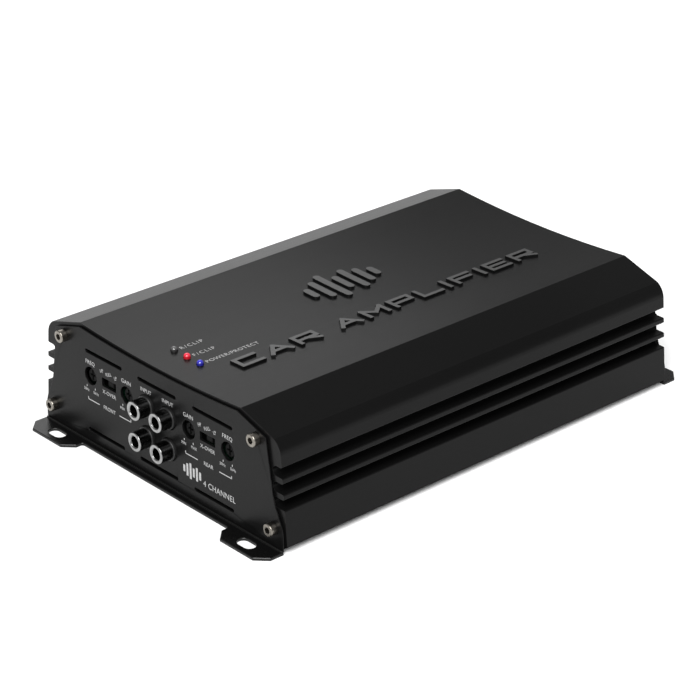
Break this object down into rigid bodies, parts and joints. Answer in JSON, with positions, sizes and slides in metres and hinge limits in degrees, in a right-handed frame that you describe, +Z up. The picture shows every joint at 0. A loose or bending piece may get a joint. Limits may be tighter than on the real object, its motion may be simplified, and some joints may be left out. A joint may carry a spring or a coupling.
{
  "type": "car amplifier",
  "caption": "Car audio amplifier: finned black aluminium extrusion between two end plates on a steel base with slotted feet, with input jacks, gain and crossover controls, terminals and fuses.",
  "frame": {"origin": "centre of the footprint, feet included, on the underside of the base plate", "axes": "-Y towards the control and input panel, +Y towards the power and speaker panel, +X to the right seen from the control panel, +Z up"},
  "size_m": [0.156, 0.2418, 0.0537],
  "materials": {
    "black_satin_aluminium": "satin black fine-grained coating",
    "black_coated_steel": "satin black powder coat on steel sheet",
    "nickel_screws": "nickel plated",
    "black_screws": "black oxide",
    "zinc_steel": "zinc plated",
    "circuit_board": "green solder mask on glass-epoxy",
    "black_plastic": "moulded black plastic",
    "black_knob_plastic": "moulded black plastic",
    "bright_nickel": "polished nickel plate",
    "tinned_copper": "tinned",
    "terminal_metal": "nickel plated brass",
    "ferrite": "epoxy coated ferrite",
    "copper_wire": "enamelled copper",
    "capacitor_sleeve": "printed sleeve",
    "insulator_pad": "silicone rubber",
    "clear_lamp": "clear epoxy",
    "red_lamp": "red epoxy",
    "blue_lamp": "blue epoxy",
    "amber_fuse": "translucent amber plastic",
    "badge_black": "gloss black with satin grey face"
  },
  "bodies": {
    "amplifier_case": {"heat_sink_extrusion": "black_satin_aluminium", "base_plate": "black_coated_steel", "front_end_plate": "black_satin_aluminium", "rear_end_plate": "black_satin_aluminium", "front_plate_screws": "nickel_screws", "rear_plate_screws": "nickel_screws", "base_plate_screws": "black_screws", "board_standoffs": "zinc_steel", "board_screws": "zinc_steel", "main_circuit_board": "circuit_board", "input_circuit_board": "circuit_board", "board_header": "black_plastic", "rca_jack_housing": "black_plastic", "rca_jack_shells": "bright_nickel", "rca_jack_insulators": "black_plastic", "rca_jack_centre_contacts": "bright_nickel", "control_pot_bodies": "black_plastic", "crossover_switch_bodies": "black_plastic", "rear_clip_lamp": "clear_lamp", "front_clip_lamp": "red_lamp", "power_lamp": "blue_lamp", "lamp_board": "circuit_board", "lamp_spacer": "black_plastic", "transformer_core": "ferrite", "transformer_windings": "copper_wire", "filter_choke_core": "ferrite", "filter_choke_winding": "copper_wire", "supply_capacitors": "capacitor_sleeve", "rail_capacitors": "capacitor_sleeve", "small_capacitors": "capacitor_sleeve", "amplifier_chips": "black_plastic", "insulating_pads": "insulator_pad", "transistor_tabs": "tinned_copper", "transistor_cases": "black_plastic", "transistor_leads": "tinned_copper", "transistor_clamp_bars": "zinc_steel", "clamp_bar_screws": "zinc_steel", "power_terminal_block": "black_plastic", "power_terminal_clamps": "terminal_metal", "power_terminal_screws": "terminal_metal", "speaker_terminal_block": "black_plastic", "speaker_terminal_clamps": "terminal_metal", "speaker_terminal_screws": "terminal_metal", "fuse_socket": "black_plastic", "fuse_contacts": "tinned_copper", "raised_lettering": "badge_black", "raised_emblem": "badge_black"},
    "front_frequency_control": {"front_frequency_rotor": "black_knob_plastic"},
    "front_gain_control": {"front_gain_rotor": "black_knob_plastic"},
    "rear_gain_control": {"rear_gain_rotor": "black_knob_plastic"},
    "rear_frequency_control": {"rear_frequency_rotor": "black_knob_plastic"},
    "front_crossover_switch": {"front_crossover_slider": "black_knob_plastic"},
    "rear_crossover_switch": {"rear_crossover_slider": "black_knob_plastic"},
    "left_fuse": {"left_fuse_housing": "amber_fuse", "left_fuse_blades": "tinned_copper"},
    "right_fuse": {"right_fuse_housing": "amber_fuse", "right_fuse_blades": "tinned_copper"}
  },
  "joints": [
    {"name": "front_frequency_turn", "type": "hinge", "parent": "amplifier_case", "child": "front_frequency_control", "pos_m": [-0.0442, -0.104, 0.0323], "axis": [0, 1, 0], "range_deg": [-140, 140]},
    {"name": "front_gain_turn", "type": "hinge", "parent": "amplifier_case", "child": "front_gain_control", "pos_m": [-0.02, -0.104, 0.0323], "axis": [0, 1, 0], "range_deg": [-140, 140]},
    {"name": "rear_gain_turn", "type": "hinge", "parent": "amplifier_case", "child": "rear_gain_control", "pos_m": [0.02, -0.104, 0.0323], "axis": [0, 1, 0], "range_deg": [-140, 140]},
    {"name": "rear_frequency_turn", "type": "hinge", "parent": "amplifier_case", "child": "rear_frequency_control", "pos_m": [0.0442, -0.104, 0.0323], "axis": [0, 1, 0], "range_deg": [-140, 140]},
    {"name": "front_crossover_slide", "type": "slide", "parent": "amplifier_case", "child": "front_crossover_switch", "axis": [1, 0, 0], "range_m": [-0.0024, 0.0024]},
    {"name": "rear_crossover_slide", "type": "slide", "parent": "amplifier_case", "child": "rear_crossover_switch", "axis": [1, 0, 0], "range_m": [-0.0024, 0.0024]},
    {"name": "left_fuse_pull", "type": "slide", "parent": "amplifier_case", "child": "left_fuse", "axis": [0, 1, 0], "range_m": [0, 0.016]},
    {"name": "right_fuse_pull", "type": "slide", "parent": "amplifier_case", "child": "right_fuse", "axis": [0, 1, 0], "range_m": [0, 0.016]}
  ]
}
